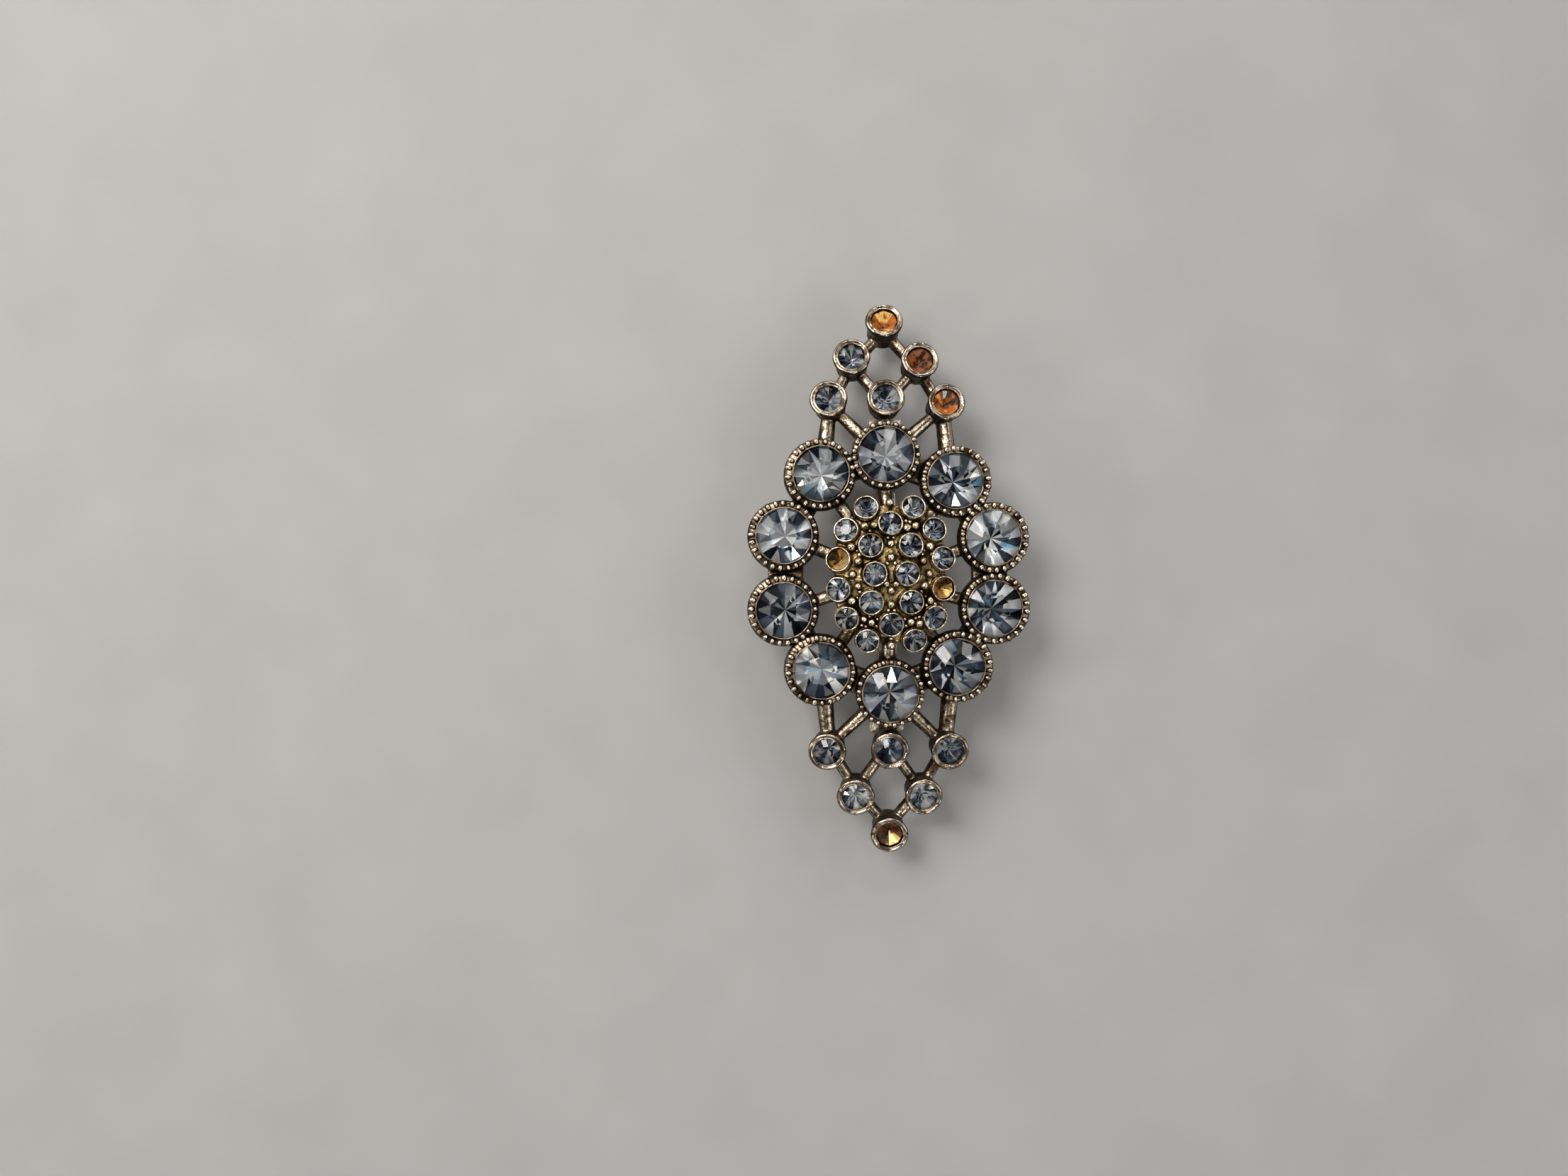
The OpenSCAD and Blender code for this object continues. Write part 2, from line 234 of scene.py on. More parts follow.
# Its steep faces and crevices are painted darker: painted shade.
pale_gold = plated(
    "pale gold casting", (0.52, 0.43, 0.315), (0.16, 0.105, 0.06), (0.034, 0.021, 0.012),
    patches=0.7, sides=0.88, smooth=0.22, relief=0.6,
)


def piece_from(name, mesh, material, body="ornament", smooth=True):
    """An object from a mesh in millimetres, on a body of the clip."""
    mesh.transform(Matrix.Scale(MM, 4))
    for polygon in mesh.polygons:
        polygon.use_smooth = smooth
    for one in material if isinstance(material, (list, tuple)) else [material]:
        mesh.materials.append(one)
    piece = bpy.data.objects.new(name, mesh)
    bpy.context.scene.collection.objects.link(piece)
    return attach(piece, body)


class Builder:
    """Gathers verts and faces, in millimetres, into one mesh."""

    def __init__(self):
        self.verts, self.faces = [], []

    def add(self, verts, faces, matrix=None):
        start = len(self.verts)
        self.verts += [matrix @ Vector(v) for v in verts] if matrix else [Vector(v) for v in verts]
        self.faces += [[start + i for i in face] for face in faces]

    def mesh(self, name):
        mesh = bpy.data.meshes.new(name)
        mesh.from_pydata(self.verts, [], self.faces)
        mesh.validate()
        return mesh


def turned_ring(outline, steps, uneven=0.0, seed=0):
    """A closed outline of (radius, height) points turned about Z, uneven by so many mm. The
    outline may also be a function of the angle."""
    luck = random.Random(seed)
    waves = [(k, luck.uniform(0, 6.28), luck.uniform(0, 6.28)) for k in (2, 3, 5, 8, 13)]
    verts, faces = [], []
    for s in range(steps):
        a = 2 * math.pi * s / steps
        points = outline(a) if callable(outline) else outline
        n = len(points)
        out = sum(math.sin(k * a + p) for k, p, _ in waves) * uneven / 3
        up = sum(math.sin(k * a + q) for k, _, q in waves) * uneven / 3 - uneven / 2
        verts += [((r + out) * math.cos(a), (r + out) * math.sin(a), z + up) for r, z in points]
        here, after = s * n, (s + 1) % steps * n
        faces += [(here + i, after + i, after + (i + 1) % n, here + (i + 1) % n) for i in range(n)]
    return verts, faces


def lowered(points, matrices, reach, level):
    """Points near a seat's axis, with the metal over a level pressed down to make room."""
    for matrix in matrices:
        local = (points - np.array(matrix.translation)) @ np.array(matrix.to_3x3())
        near = (np.hypot(local[:, 0], local[:, 1]) < reach) & (local[:, 2] > level)
        near &= local[:, 2] < 1
        points[near] -= np.outer(local[near, 2] - level, np.array(matrix.col[2])[:3])
    return points


def widened(points, matrices, mouth):
    """Points of the seats' bores, moved back so that the melted skin stays clear of the stones."""
    for matrix in matrices:
        turn = np.array(matrix.to_3x3())
        local = (points - np.array(matrix.translation)) @ turn
        inside = (np.hypot(local[:, 0], local[:, 1]) < mouth + 0.03) & (np.abs(local[:, 2]) < 3.7)
        inside &= local[:, 2] > -1.2 * mouth
        moved = local * [1.06, 1.06, 1] - [0, 0, 0.22]
        points[inside] = (moved @ turn.T + np.array(matrix.translation))[inside]
    return points


def tapered(points, matrices, radius, amount):
    """Points of the seats' outer walls, drawn in below the lip."""
    for matrix in matrices:
        turn = np.array(matrix.to_3x3())
        local = (points - np.array(matrix.translation)) @ turn
        out = np.hypot(local[:, 0], local[:, 1])
        wall = (out > radius - 0.35) & (out < radius + 0.05) & (np.abs(local[:, 2] + 2) < 2.2)
        share = 1 - amount * np.clip(-local[:, 2] / 1.9, 0, 1)
        moved = local * np.stack([share, share, np.ones_like(share)], 1)
        points[wall] = (moved @ turn.T + np.array(matrix.translation))[wall]
    return points


def casting_copy(node, extra, rims, voxel, rounds, narrow=()):
    """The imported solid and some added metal, melted into one skin and smoothed like a casting.
    Its rims are pressed down a little, and the rings made below stand in their place. The seats
    in narrow are drawn in below the lip."""
    work = bmesh.new()
    work.from_mesh(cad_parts[node].data)
    bmesh.ops.transform(work, matrix=Matrix.Scale(1 / MM, 4), verts=work.verts)
    bmesh.ops.remove_doubles(work, verts=work.verts, dist=0.0005)
    mesh = bpy.data.meshes.new(node + " skin")
    work.to_mesh(mesh)
    work.free()
    points = np.array([v.co for v in mesh.vertices], float)
    for matrices, mouth, reach, level in rims:
        points = widened(points, matrices, mouth)
        points = lowered(points, matrices, reach, level)
    points = tapered(points, narrow, 2.42, 0.15)
    add = Builder()
    add.add(points.tolist(), [list(p.vertices) for p in mesh.polygons])
    for verts, faces, matrix in extra:
        add.add(verts, faces, matrix)
    solid = bpy.data.objects.new(node + " solid", add.mesh(node + " solid"))
    bpy.context.scene.collection.objects.link(solid)
    melt = solid.modifiers.new("melt", "REMESH")
    melt.mode = "VOXEL"
    melt.voxel_size = voxel
    ease = solid.modifiers.new("ease", "SMOOTH")
    ease.factor = 0.5
    ease.iterations = rounds
    grow = solid.modifiers.new("grow", "DISPLACE")
    grow.strength = 0.03  # makes good what melting and easing took off
    grow.mid_level = 0
    shape = solid.evaluated_get(bpy.context.evaluated_depsgraph_get())
    skin = bpy.data.meshes.new_from_object(shape)
    bpy.data.objects.remove(solid)
    return skin


# Fillets: a fat ring of metal round the foot of each setting, at the level of the bars
BAR_LEVEL_LARGE, BAR_LEVEL_SMALL = -2.95, -2.65


def fillet(radius, level, tube):
    steps = 10
    profile = [
        (radius + tube * math.cos(2 * math.pi * i / steps),
         level + tube * math.sin(2 * math.pi * i / steps))
        for i in range(steps)
    ]
    return turned_ring(profile, 40)


small_cups = [*small.values(), *small_empty.values()]
fillets = [(*fillet(3.4, BAR_LEVEL_LARGE, 0.6), m) for m in large.values()]
fillets += [(*fillet(1.45, BAR_LEVEL_SMALL, 0.55), m) for m in small_cups]
casting_rims = [(large.values(), 3.59, 4.8, -0.8), (small_cups, 1.79, 2.7, -0.5)]
casting = piece_from(
    "openwork_casting",
    casting_copy("openwork_frame", fillets, casting_rims, 0.15, 5, small_cups),
    pale_gold,
)
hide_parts("openwork_frame")

# ---------------------------------------------------------------------------------------------
# Large bezels: a thin lip rubbed over each large stone, then a sloping shoulder with a milgrain
# edge of raised grains, then a flared outer wall. On the eight side settings the shoulder is
# wider on the outer side of the clip. They are part of the casting, chased after casting.
GRAINS = 25
# A lighter copy of the casting's gold for the raised grains: a painted highlight.
lit_gold = plated(
    "lit bright gold", (0.78, 0.68, 0.54), (0.28, 0.20, 0.125), (0.03, 0.018, 0.010),
    patches=0.5, sides=0.9, reach=0.0009, smooth=0.15, relief=0.4,
)
LARGE_LIP = [
    (3.40, -0.14), (3.43, -0.02), (3.50, 0.03), (3.57, 0.0), (3.61, -0.12), (3.63, -0.5),
    (3.58, -0.5), (3.56, -0.28),
]


def grain(radius, rings=6, sides=10):
    """A little ball of metal."""
    verts, faces = [(0, 0, -radius)], []
    for i in range(1, rings):
        h = -math.cos(math.pi * i / rings)
        w = math.sin(math.pi * i / rings)
        for s in range(sides):
            a = 2 * math.pi * s / sides
            verts.append((radius * w * math.cos(a), radius * w * math.sin(a), radius * h))
    verts.append((0, 0, radius))
    for s in range(sides):
        t = (s + 1) % sides
        faces.append((0, 1 + t, 1 + s))
        for i in range(rings - 2):
            low, high = 1 + i * sides, 1 + (i + 1) * sides
            faces.append((low + s, low + t, high + t, high + s))
        last = 1 + (rings - 2) * sides
        faces.append((last + s, last + t, len(verts) - 1))
    return verts, faces


def shoulder(extra):
    """Outline of the shoulder of a large bezel where it is wider by extra."""
    return [
        (3.58, -0.36), (3.70, -0.46), (3.95 + 0.4 * extra, -0.50), (4.12 + 0.7 * extra, -0.58),
        (4.22 + 0.85 * extra, -0.78), (4.28 + extra, -1.4), (4.26 + extra, -2.1), (4.0, -2.1),
        (3.62, -0.9),
    ]


def bezel(matrix, outward):
    """Shoulder, lip and grains round a stone; the widest side faces along outward, if given."""
    steps = 72
    local = matrix.to_3x3().inverted() @ outward if outward else None
    start = math.atan2(local.y, local.x) if local else 0.0

    def extra(angle):
        return 0.23 + 0.23 * math.cos(angle - start) if local else 0.0

    shoulders.add(*turned_ring(lambda angle: shoulder(extra(angle)), steps), matrix)
    shoulders.add(*turned_ring(LARGE_LIP, steps, 0.03, len(bezels.verts)), matrix)
    first = chance.uniform(0, 1)
    for i in range(GRAINS):
        a = 2 * math.pi * (i + first + chance.uniform(-0.07, 0.07)) / GRAINS
        long = 1.05 + 0.8 * extra(a)
        spot = (
            Matrix.Rotation(a, 4, "Z")
            @ Matrix.Translation((3.94 + 0.45 * extra(a), 0, -0.42 - 0.15 * extra(a)))
            @ Matrix.Diagonal((long, chance.uniform(0.85, 1.05), chance.uniform(1.1, 1.3), 1))
        )
        bezels.add(*grain(0.37), matrix @ spot)


bezels, shoulders = Builder(), Builder()
chance = random.Random(7)
for matrix in large.values():
    across = matrix.translation.x
    bezel(matrix, Vector((math.copysign(1, across), 0, 0)) if abs(across) > 1 else None)
milgrain = piece_from("milgrain_bezels", bezels.mesh("milgrain bezels"), lit_gold)
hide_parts("openwork_frame")
# A darker copy of the casting's gold for the shoulders, and the lips with them: painted shade in the
# recessed band.
shaded_gold = plated(
    "shaded gold shoulder", (0.34, 0.265, 0.185), (0.085, 0.055, 0.032), (0.018, 0.011, 0.007),
    patches=0.7, sides=1.0, reach=0.0012, smooth=0.24, relief=0.4,
)
ring = piece_from("bezel_shoulders", shoulders.mesh("bezel shoulders"), shaded_gold)
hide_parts("openwork_frame")

# ---------------------------------------------------------------------------------------------
# Small bezels: tall smooth cups with a rounded, polished lip and a thin inner ledge.
# Painted darker on steep faces and in crevices: painted shade.
cup_gold = plated(
    "polished gold cup", (0.44, 0.365, 0.285), (0.14, 0.095, 0.058), (0.026, 0.016, 0.010),
    patches=0.6, sides=0.9, reach=0.0007, smooth=0.14, relief=0.2,
)
small_lip = [
    (1.70, -0.2), (1.72, -0.1), (1.77, -0.06), (1.83, -0.12), (1.90, -0.14), (1.98, -0.05),
    (2.08, 0.02), (2.18, 0.03), (2.28, -0.02), (2.37, -0.14), (2.40, -0.3), (2.36, -0.5),
    (2.15, -1.4), (1.95, -1.4), (1.85, -0.7), (1.8, -0.34),
]
cups = Builder()
for seed, matrix in enumerate(small_cups):
    cups.add(*turned_ring(small_lip, 56, 0.02, seed), matrix)
smooth_bezels = piece_from("smooth_bezels", cups.mesh("smooth bezels"), cup_gold)
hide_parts("openwork_frame")

# ---------------------------------------------------------------------------------------------
# Raised cluster: a second, yellower casting soldered on the plate in the middle. Its seats have
# thin rims, and round grains fill the hollows between them.
# Both cluster metals are painted darker on steep faces and in crevices: painted shade.
yellow_gold = plated(
    "yellow gold cluster", (0.66, 0.50, 0.27), (0.27, 0.17, 0.06), (0.016, 0.009, 0.004),
    patches=0.9, reach=0.0024, smooth=0.2, relief=0.9,
)
worn_gold = plated(
    "worn yellow gold", (0.86, 0.75, 0.56), (0.36, 0.25, 0.12), (0.03, 0.017, 0.008),
    patches=0.6, reach=0.001, smooth=0.14, relief=0.5,
)
cluster_lip = [
    (1.35, -0.13), (1.38, -0.04), (1.44, 0.01), (1.50, -0.04), (1.55, -0.18), (1.6, -0.45),
    (1.62, -0.8), (1.47, -0.8), (1.42, -0.28),
]
cluster_seats = [*cluster.values(), *cluster_empty.values()]
rims = Builder()
for seed, matrix in enumerate(cluster_seats):
    rims.add(*turned_ring(cluster_lip, 40, 0.028, seed), matrix)
cluster_body = piece_from(
    "cluster_casting",
    casting_copy("cluster_dome", [], [(cluster_seats, 1.44, 1.8, -0.35)], 0.12, 3),
    yellow_gold,
)
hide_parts("cluster_dome")

# Grains stand where three or more seats leave a hollow: first the large ones, as big as the
# hollow allows, then small ones in what is left.
centres = np.array([m.translation for m in cluster_seats])
hollows = []
for x in np.arange(-9, 9.01, 0.12):
    for y in np.arange(-10.5, 10.51, 0.12):
        away = np.hypot(centres[:, 0] - x, centres[:, 1] - y)
        near = np.argsort(away)
        gaps = away[near[:3]]
        if gaps[0] > 1.68 and gaps[2] < 3.0:
            level = centres[near[:3], 2].mean()
            hollows.append((gaps[0] - 0.3 * (gaps[2] - gaps[0]), x, y, gaps[0] - 1.34, level))
hollows.sort(reverse=True)
grains_at = []
for low, high, sunk in ((0.42, 0.62, 0.52), (0.2, 0.3, 0.5)):
    for _, x, y, room, level in hollows:
        size = min(room, high) * chance.uniform(0.85, 1.0)
        if size > low and all(math.hypot(x - a, y - b) > (size + c) * 0.92 for a, b, c in grains_at):
            grains_at.append((x, y, size))
            spot = Matrix.Translation((x, y, level - sunk)) @ Matrix.Diagonal((1, 1, 1.35, 1))
            rims.add(*grain(size, 8, 12), spot)
cluster_rims = piece_from("cluster_rims", rims.mesh("cluster rims"), worn_gold)
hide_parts("cluster_dome")

# ---------------------------------------------------------------------------------------------
# Stones: machine-cut glass with an eight-sided table, a full crown, and a pointed back that is
# coated with mirror foil. Each is its own piece, cemented in its seat.


def glass():
    material = bpy.data.materials.new("cut glass")
    material.use_nodes = True
    nodes, links = material.node_tree.nodes, material.node_tree.links
    surface = nodes["Principled BSDF"]
    surface.inputs["Base Color"].default_value = (0.94, 0.97, 1.0, 1)
    surface.inputs["Transmission Weight"].default_value = 1.0
    surface.inputs["IOR"].default_value = 1.57
    place = nodes.new("ShaderNodeTexCoord")
    smear = nodes.new("ShaderNodeTexNoise")
    smear.inputs["Scale"].default_value = 900
    smear.inputs["Detail"].default_value = 3
    spread = nodes.new("ShaderNodeMapRange")
    spread.inputs["From Min"].default_value = 0.45
    spread.inputs["From Max"].default_value = 0.75
    spread.inputs["To Min"].default_value = 0.0
    spread.inputs["To Max"].default_value = 0.05
    links.new(place.outputs["Object"], smear.inputs["Vector"])
    links.new(smear.outputs["Fac"], spread.inputs["Value"])
    links.new(spread.outputs["Result"], surface.inputs["Roughness"])
    return material


def fill_ramp(node, stops):
    """Puts (position, colour) stops on a colour ramp."""
    while len(node.color_ramp.elements) < len(stops):
        node.color_ramp.elements.new(0.5)
    for element, (at, colour) in zip(node.color_ramp.elements, stops):
        element.position = at
        element.color = (*colour, 1)


def mirror_foil():
    """Silvered back: each facet is painted its own tone, from navy to white, with a few blue flashes.
    These tones are painted reflections, painted highlights and painted flashes, laid over the foil's
    own partial mirror.
    """
    material = bpy.data.materials.new("mirror foil")
    material.use_nodes = True
    nodes, links = material.node_tree.nodes, material.node_tree.links
    surface = nodes["Principled BSDF"]
    surface.inputs["Metallic"].default_value = 0.6
    surface.inputs["Roughness"].default_value = 0.17
    tone = nodes.new("ShaderNodeAttribute")
    tone.attribute_name = "painted_reflection_tone"
    ramp = nodes.new("ShaderNodeValToRGB")
    # Navy to grey stops are painted reflections, white a painted highlight, pale blue a painted flash.
    stops = ((0.0, (0.010, 0.013, 0.019)), (0.14, (0.032, 0.044, 0.068)), (0.28, (0.095, 0.125, 0.17)),
             (0.42, (0.24, 0.27, 0.31)), (0.56, (0.55, 0.56, 0.57)), (0.7, (1.0, 1.0, 1.0)),
             (0.84, (0.88, 0.83, 0.72)), (0.94, (0.35, 0.75, 1.0)))
    ramp.color_ramp.interpolation = "CONSTANT"
    fill_ramp(ramp, stops)
    links.new(tone.outputs["Fac"], ramp.inputs["Fac"])
    links.new(ramp.outputs["Color"], surface.inputs["Base Color"])
    return material


cut_glass = glass()
foil_back = mirror_foil()


def cut_stone(name, diameter, seed):
    """A brilliant-cut chaton: table, star, kite and girdle facets over a foiled point."""
    luck = random.Random(seed)
    r = diameter / 2 * 0.985
    crown = CROWN * diameter
    point = 0.42 * diameter
    belt_top, belt_low = -RIM_OVER_GIRDLE, -RIM_OVER_GIRDLE - 0.18
    work = bmesh.new()

    def ring(count, radius, z, shift):
        return [
            work.verts.new((
                radius * math.cos(2 * math.pi * (i + shift) / count),
                radius * math.sin(2 * math.pi * (i + shift) / count), z,
            ))
            for i in range(count)
        ]

    table = ring(8, 0.49 * r, crown - RIM_OVER_GIRDLE, 0)
    belt = ring(16, r, belt_top, 0)
    under = ring(16, r, belt_low, 0)
    waist = [
        work.verts.new((
            share * r * math.cos(2 * math.pi * i / 16), share * r * math.sin(2 * math.pi * i / 16),
            belt_low - point * (1.01 - share),
        ))
        for i, share in enumerate([0.42, 0.36] * 8)
    ]
    tip = work.verts.new((0, 0, belt_low - point))
    glass_faces = [table]
    foil_faces = []
    tones = []
    # Painted reflections: each pavilion wedge gets a tone, dark and light wedges alternating.
    spread = (0.0, 0.0, 0.0, 0.14, 0.14, 0.28, 0.28, 0.42, 0.56, 0.7, 0.7, 0.84)
    wedges = [luck.choice(spread)]
    while len(wedges) < 16:
        tone = luck.choice(spread)
        if abs(tone - wedges[-1]) > 0.13:
            wedges.append(tone)
    for k in range(8):
        n = (k + 1) % 8
        a, b, c = 2 * k, 2 * k + 1, (2 * k + 2) % 16
        glass_faces += [
            [table[n], table[k], belt[b]], [table[k], belt[a], belt[b]],
            [table[n], belt[b], belt[c]],
        ]
    for i in range(16):
        n = (i + 1) % 16
        glass_faces.append([belt[n], belt[i], under[i], under[n]])
        foil_faces += [
            [waist[i], under[n], under[i]], [waist[i], waist[n], under[n]],
            [tip, waist[n], waist[i]],
        ]
    for corners in glass_faces:
        work.faces.new(corners).material_index = 0
        tones.append(0.5)
    for i, corners in enumerate(foil_faces):
        work.faces.new(corners).material_index = 1
        own = luck.random()
        tone = wedges[i // 3] if own < 0.66 else luck.choice(spread)
        tones.append(0.97 if own > 0.988 else tone + 0.05)
    bmesh.ops.recalc_face_normals(work, faces=work.faces)
    mesh = bpy.data.meshes.new(name)
    work.to_mesh(mesh)
    work.free()
    layer = mesh.attributes.new("painted_reflection_tone", "FLOAT", "FACE")
    layer.data.foreach_set("value", tones)
    return mesh


for seed, (node, matrix) in enumerate([*large.items(), *small.items(), *cluster.items()]):
    width = {"la": LARGE_D, "sm": SMALL_D, "cl": CLUSTER_D}[node[:2]]
    gem = cut_stone(node + " cut", width, seed)
    gem.transform(matrix @ Matrix.Rotation(0.7 * seed, 4, "Z"))
    stone = piece_from(node + "_cut", gem, [cut_glass, foil_back], smooth=False)
    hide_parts(node)

# ---------------------------------------------------------------------------------------------
# Foil cups: where a stone has fallen out, its back of thin faceted foil stays in the seat. The
# lacquer on it has gone orange and brown. Some sides are painted brighter as painted highlight and
# some darker as painted shade, and it is torn at the tip and painted darker towards it.


def lacquer(name, light, deep, highlight_colour, dark_share, metal):
    """Foil that is blotched, with whole sides from tip to edge painted brighter or darker by where
    they face, as painted highlight and painted shade, and darker towards its torn tip.
    """
    material = bpy.data.materials.new(name)
    material.use_nodes = True
    nodes, links = material.node_tree.nodes, material.node_tree.links
    surface = nodes["Principled BSDF"]
    surface.inputs["Metallic"].default_value = metal
    surface.inputs["Roughness"].default_value = 0.36
    surface.inputs["Coat Weight"].default_value = 0.45
    surface.inputs["Coat Roughness"].default_value = 0.15
    place = nodes.new("ShaderNodeTexCoord")
    blotch = nodes.new("ShaderNodeTexNoise")
    blotch.inputs["Scale"].default_value = 1100
    blotch.inputs["Detail"].default_value = 6
    blotch.inputs["Roughness"].default_value = 0.62
    blotch.inputs["Distortion"].default_value = 0.4
    links.new(place.outputs["Object"], blotch.inputs["Vector"])
    light_and_shade = nodes.new("ShaderNodeAttribute")
    light_and_shade.attribute_name = "light_and_shade"
    both = nodes.new("ShaderNodeMath")
    both.operation = "ADD"
    links.new(blotch.outputs["Fac"], both.inputs[0])
    links.new(light_and_shade.outputs["Fac"], both.inputs[1])
    ramp = nodes.new("ShaderNodeValToRGB")
    # The top stops give the painted highlight on sides painted bright; the black stop is reached on
    # sides painted shade and towards the tip.
    stops = (
        (dark_share - 0.05, (0.010, 0.005, 0.003)), (dark_share + 0.02, deep), (0.52, light),
        (0.66, light), (0.74, highlight_colour), (0.9, highlight_colour),
    )
    fill_ramp(ramp, stops)
    links.new(both.outputs[0], ramp.inputs["Fac"])
    links.new(ramp.outputs["Color"], surface.inputs["Base Color"])
    bump = nodes.new("ShaderNodeBump")
    bump.inputs["Strength"].default_value = 0.6
    bump.inputs["Distance"].default_value = 0.0002
    links.new(blotch.outputs["Fac"], bump.inputs["Height"])
    links.new(bump.outputs["Normal"], surface.inputs["Normal"])
    return material


amber = lacquer("amber lacquer", (0.46, 0.135, 0.014), (0.17, 0.045, 0.008), (0.95, 0.60, 0.17),
                0.37, 0.3)
dull_amber = lacquer("dull amber lacquer", (0.30, 0.085, 0.014), (0.09, 0.026, 0.006),
                     (0.52, 0.22, 0.06), 0.43, 0.2)
brown = lacquer("brown lacquer", (0.12, 0.035, 0.008), (0.035, 0.012, 0.004), (0.85, 0.50, 0.13),
                0.44, 0.4)
gold_foil = lacquer("gold foil", (0.58, 0.36, 0.11), (0.16, 0.085, 0.025), (0.95, 0.74, 0.36),
                    0.36, 0.85)


def foil_cup(name, diameter, matrix, seed, painted_lights):
    """A thin cone of creased foil with sixteen sides, open at the top. Each painted light is a side
    painted bright (painted highlight) or dark (painted shade): where it faces (degrees clockwise
    from +Y), its half width and its strength."""
    luck = random.Random(seed)
    ahead = matrix.to_3x3().inverted() @ Vector((0, 1, 0))
    start = math.degrees(math.atan2(ahead.y, ahead.x))

    def light_and_shade_of(side, level):
        # Sides are painted darker towards the tip, and the listed sides brighter or darker: painted
        # highlight and painted shade.
        value = luck.uniform(-0.07, 0.07) + (0.0, 0.0, 0.0, -0.04, -0.34)[level]
        for faces, half_width, strength in painted_lights:
            off = (start - 360 * (side + 0.5) / sides - faces + 180) % 360 - 180
            if abs(off) < half_width:
                value += strength * (1.0, 1.0, 1.0, 0.8, 0.3)[level]
        return value

    r = diameter / 2 * 0.975
    depth = 0.42 * diameter
    levels = [(1.0, -0.42), (1.0, -0.5), (0.72, -0.5 - 0.3 * depth), (0.4, -0.5 - 0.62 * depth),
              (0.13, -0.5 - 0.86 * depth), (0.05, -0.5 - 0.93 * depth)]
    sides = 16
    cup = Builder()
    verts, faces, lights_and_shades = [], [], []
    for skin, gap in ((0, 0.07), (1, 0.0)):
        for level, (share, z) in enumerate(levels):
            for s in range(sides):
                a = 2 * math.pi * s / sides
                crease = 1 - (0.05 if s % 2 else 0.0) - luck.uniform(0, 0.02)
                w = max(r * share * crease - gap, 0.02)
                verts.append((w * math.cos(a), w * math.sin(a), z - 0.05 * skin))
    n = len(levels)
    for s in range(sides):
        t = (s + 1) % sides
        for i in range(n - 1):
            a, b = i * sides, (i + 1) * sides
            faces.append((a + s, b + s, b + t, a + t))
            a, b = (n + i) * sides, (n + i + 1) * sides
            faces.append((a + s, a + t, b + t, b + s))
            lights_and_shades += [light_and_shade_of(s, i)] * 2
        faces.append((s, t, n * sides + t, n * sides + s))
        last = (n - 1) * sides
        faces.append((last + s, (2 * n - 1) * sides + s, (2 * n - 1) * sides + t, last + t))
        lights_and_shades += [0.0, -0.3]
    cup.add(verts, faces, matrix)
    mesh = cup.mesh(name)
    mesh.attributes.new("light_and_shade", "FLOAT", "FACE").data.foreach_set("value", lights_and_shades)
    return mesh


# Painted highlight (positive strength) and painted shade (negative) on sides of each foil cup.
foil_painted_lights = {
    "foil_cup_01": [(0, 36, 0.3), (150, 24, 0.12), (250, 24, -0.1)],
    "foil_cup_02": [(40, 60, -0.06), (200, 40, 0.04)],
    "foil_cup_03": [(30, 60, -0.16), (315, 24, 0.26), (180, 50, 0.1)],
    "foil_cup_04": [(150, 36, 0.34), (300, 90, -0.06)],
    "cluster_foil_01": [(350, 60, -0.14), (170, 50, 0.1)],
    "cluster_foil_02": [(290, 70, -0.2), (130, 60, 0.26)],
}
for seed, (node, matrix) in enumerate([*small_empty.items(), *cluster_empty.items()]):
    in_cluster = node.startswith("cluster")
    low_end = matrix.translation.y < -30
    skin = gold_foil if in_cluster else brown if low_end else amber
    if node == "foil_cup_02":
        skin = dull_amber
    mesh = foil_cup(node + " foil", CLUSTER_D if in_cluster else SMALL_D, matrix, seed,
                    foil_painted_lights[node])
    foil = piece_from(node + "_lacquer", mesh, skin, smooth=False)
    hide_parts(node)

# ---------------------------------------------------------------------------------------------
# Clasp: stamped and folded strip steel, plated like the casting but duller, with bare bright
# spring steel for the bow and the catch prongs.
# Both steels are painted a little darker on steep faces and in crevices: painted shade.
clasp_steel = plated(
    "plated clasp steel", (0.64, 0.58, 0.49), (0.30, 0.24, 0.17), (0.06, 0.04, 0.03),
    patches=0.45, sides=0.3, reach=0.0012, smooth=0.26, dull=0.55, relief=0.2,
)
spring_steel = plated(
    "bright spring steel", (0.66, 0.65, 0.63), (0.40, 0.38, 0.35), (0.10, 0.08, 0.07),
    patches=0.25, sides=0.2, reach=0.0008, smooth=0.22, dull=0.5, relief=0.1,
)
for node, material in {
    "clasp_base": clasp_steel, "clasp_arm": clasp_steel, "hinge_pin": clasp_steel,
    "catch_plate": clasp_steel, "catch_rivet": clasp_steel, "tension_bow": spring_steel,
    "catch_prong_left": spring_steel, "catch_prong_right": spring_steel,
}.items():
    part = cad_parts[node]
    part.data.materials.clear()
    part.data.materials.append(material)

# ---------------------------------------------------------------------------------------------
# Stage: a plain pale floor, a broad soft light from the upper left, a weaker one from the
# right, and small bright lamps that make the stones and the polished edges sparkle.


def pale_floor():
    material = bpy.data.materials.new("pale floor")
    material.use_nodes = True
    nodes, links = material.node_tree.nodes, material.node_tree.links
    surface = nodes["Principled BSDF"]
    surface.inputs["Roughness"].default_value = 0.8
    place = nodes.new("ShaderNodeTexCoord")
    mottle = nodes.new("ShaderNodeTexNoise")
    mottle.inputs["Scale"].default_value = 60
    ramp = nodes.new("ShaderNodeValToRGB")
    ramp.color_ramp.elements[0].color = (0.315, 0.31, 0.304, 1)
    ramp.color_ramp.elements[1].color = (0.375, 0.37, 0.363, 1)
    links.new(place.outputs["Object"], mottle.inputs["Vector"])
    links.new(mottle.outputs["Fac"], ramp.inputs["Fac"])
    links.new(ramp.outputs["Color"], surface.inputs["Base Color"])
    return material


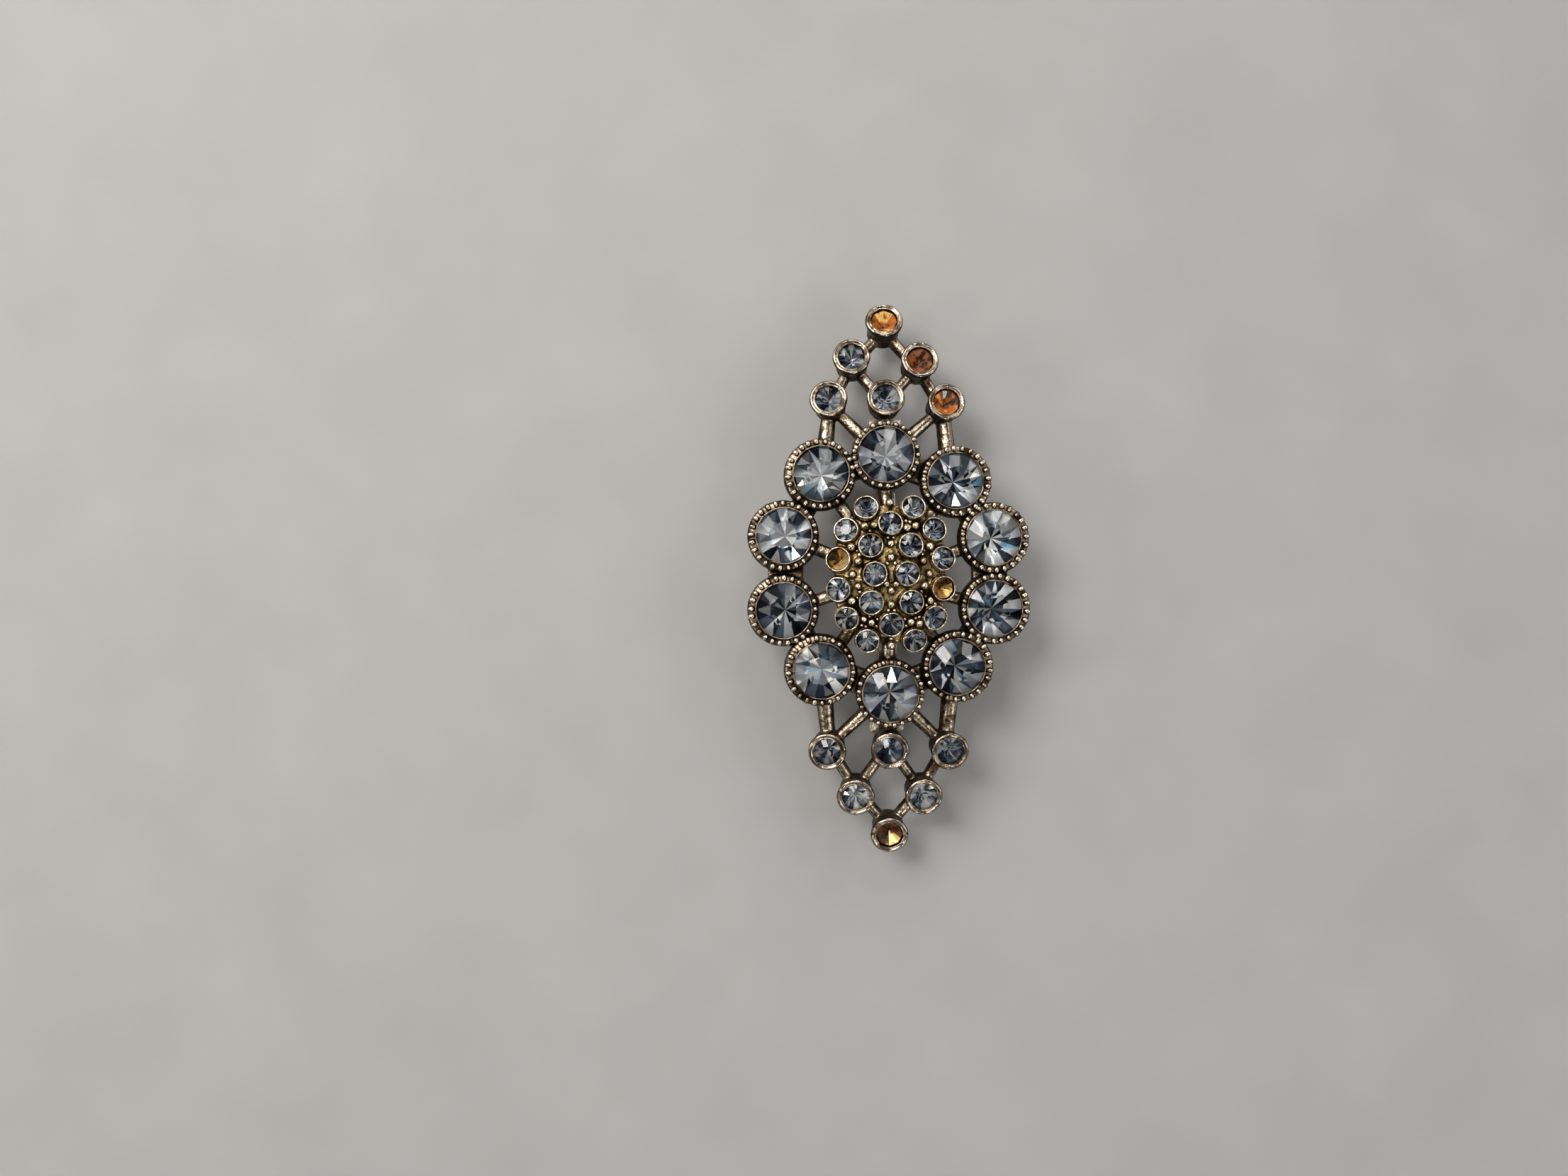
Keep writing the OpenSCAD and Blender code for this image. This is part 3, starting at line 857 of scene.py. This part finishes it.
floor_mesh = bpy.data.meshes.new("floor")
half = 2.0
floor_mesh.from_pydata(
    [(-half, -half, 0), (half, -half, 0), (half, half, 0), (-half, half, 0)], [], [(0, 1, 2, 3)],
)
floor_mesh.materials.append(pale_floor())
floor = bpy.data.objects.new("floor", floor_mesh)
floor.location.z = -0.00002  # just clear of the arm's flat underside
bpy.context.scene.collection.objects.link(floor)


def lamp(name, place, size, power, colour):
    data = bpy.data.lights.new(name, "AREA")
    data.shape = "DISK"
    data.size = size
    data.energy = power
    data.color = colour
    light = bpy.data.objects.new(name, data)
    light.location = place
    light.rotation_euler = (-Vector(place)).to_track_quat("-Z", "Y").to_euler()
    bpy.context.scene.collection.objects.link(light)


lamp("main", (-0.22, 0.2, 0.36), 0.24, 1.6, (1.0, 0.97, 0.93))
lamp("fill", (0.4, -0.1, 0.3), 0.3, 0.3, (0.95, 0.97, 1.0))
lamp("low glint", (0.1, -0.32, 0.24), 0.04, 0.16, (1.0, 0.98, 0.95))
lamp("high glint", (0.05, 0.3, 0.3), 0.03, 0.16, (1.0, 1.0, 1.0))
lamp("side glint", (-0.35, -0.08, 0.2), 0.04, 0.16, (1.0, 0.97, 0.92))

world = bpy.data.worlds.new("room")
world.use_nodes = True
bpy.context.scene.world = world
nodes, links = world.node_tree.nodes, world.node_tree.links
sky = nodes["Background"]
place = nodes.new("ShaderNodeTexCoord")
panels = nodes.new("ShaderNodeTexVoronoi")
panels.inputs["Scale"].default_value = 4.2
one = nodes.new("ShaderNodeSeparateColor")
room = nodes.new("ShaderNodeValToRGB")
stops = ((0.0, (0.006, 0.007, 0.009)), (0.38, (0.03, 0.033, 0.04)), (0.5, (0.17, 0.18, 0.195)),
         (0.72, (0.42, 0.42, 0.41)), (0.83, (4.2, 4.1, 3.95)))
fill_ramp(room, stops)
links.new(place.outputs["Generated"], panels.inputs["Vector"])
links.new(panels.outputs["Color"], one.inputs["Color"])
links.new(one.outputs["Red"], room.inputs["Fac"])
where = nodes.new("ShaderNodeSeparateXYZ")
links.new(place.outputs["Generated"], where.inputs["Vector"])
ahead = nodes.new("ShaderNodeMapRange")
ahead.inputs["From Min"].default_value = -0.5
ahead.inputs["From Max"].default_value = 0.4
ahead.inputs["To Min"].default_value = 0.5
ahead.inputs["To Max"].default_value = 1.15
links.new(where.outputs["Y"], ahead.inputs["Value"])
lit = nodes.new("ShaderNodeVectorMath")
lit.operation = "SCALE"
links.new(room.outputs["Color"], lit.inputs[0])
links.new(ahead.outputs["Result"], lit.inputs["Scale"])
seen = nodes.new("ShaderNodeLightPath")
plain = nodes.new("ShaderNodeMix")
plain.data_type = "RGBA"
plain.inputs["B"].default_value = (0.5, 0.49, 0.48, 1)  # the room itself isn't seen
links.new(seen.outputs["Is Camera Ray"], plain.inputs["Factor"])
links.new(lit.outputs["Vector"], plain.inputs["A"])
links.new(plain.outputs["Result"], sky.inputs["Color"])
sky.inputs["Strength"].default_value = 0.8
bpy.context.scene.view_settings.view_transform = "Standard"
